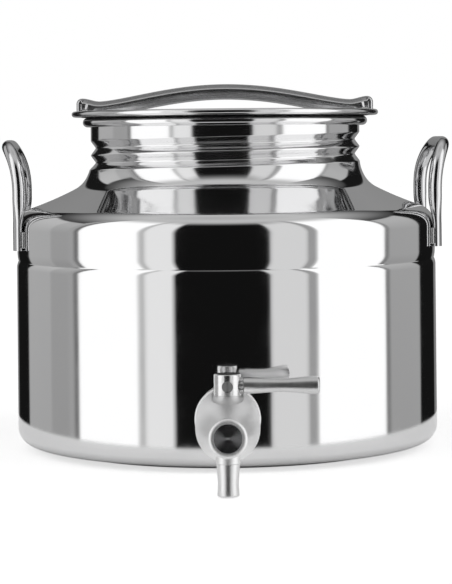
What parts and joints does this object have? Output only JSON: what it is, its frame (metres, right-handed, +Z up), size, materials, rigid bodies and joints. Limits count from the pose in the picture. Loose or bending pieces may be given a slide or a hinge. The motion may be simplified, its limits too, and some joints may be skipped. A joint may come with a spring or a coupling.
{
  "type": "milk can",
  "caption": "Polished steel milk can with a screw-in lid, a bridge handle on the lid, loop handles on the shoulder and a lever tap near the base.",
  "frame": {"origin": "centre of the flat base, on the floor", "axes": "+Z up along the can's axis, -Y towards the tap, +X the way the closed lever points"},
  "size_m": [0.2342, 0.293, 0.1891],
  "materials": {
    "polished_steel": "mirror polished stainless sheet",
    "turned_steel": "turned and polished stainless",
    "silicone": "matte translucent white",
    "black_rubber": "matte"
  },
  "bodies": {
    "can": {"lower_shell": "polished_steel", "shoulder": "polished_steel", "neck": "polished_steel", "seam_weld": "polished_steel", "left_handle": "polished_steel", "right_handle": "polished_steel", "handle_welds": "polished_steel", "tap_body": "turned_steel", "tap_gasket_outer": "silicone", "tap_gasket_inner": "silicone", "tap_washer": "turned_steel", "tap_nut": "turned_steel", "front_plug": "turned_steel", "front_plug_seal": "black_rubber", "spout": "turned_steel"},
    "valve": {"valve_plug": "turned_steel", "plug_seal_upper": "black_rubber", "plug_seal_lower": "black_rubber", "plug_spring": "turned_steel", "plug_washer": "turned_steel", "plug_nut": "turned_steel", "lever_stud": "turned_steel", "lever_grip": "turned_steel", "lever_screw": "turned_steel"},
    "lid_seal": {"lid_gasket": "black_rubber"},
    "lid": {"lid_pan": "polished_steel", "lid_handle": "polished_steel", "lid_handle_welds": "polished_steel"}
  },
  "joints": [
    {"name": "lever_turn", "type": "hinge", "parent": "can", "child": "valve", "pos_m": [0, -0.1295, 0.0446], "axis": [0, 0, 1], "range_deg": [-90, 0]},
    {"name": "lid_rise", "type": "slide", "parent": "can", "child": "lid_seal", "axis": [0, 0, 1], "range_m": [0, 0.0155]},
    {"name": "lid_turn", "type": "hinge", "parent": "lid_seal", "child": "lid", "pos_m": [0, 0, 0.17], "axis": [0, 0, 1], "range_deg": [0, 720]}
  ],
  "couplings": [
    {"joint": "lid_rise", "follows": "lid_turn", "m_per_rad": 0.0012255}
  ]
}
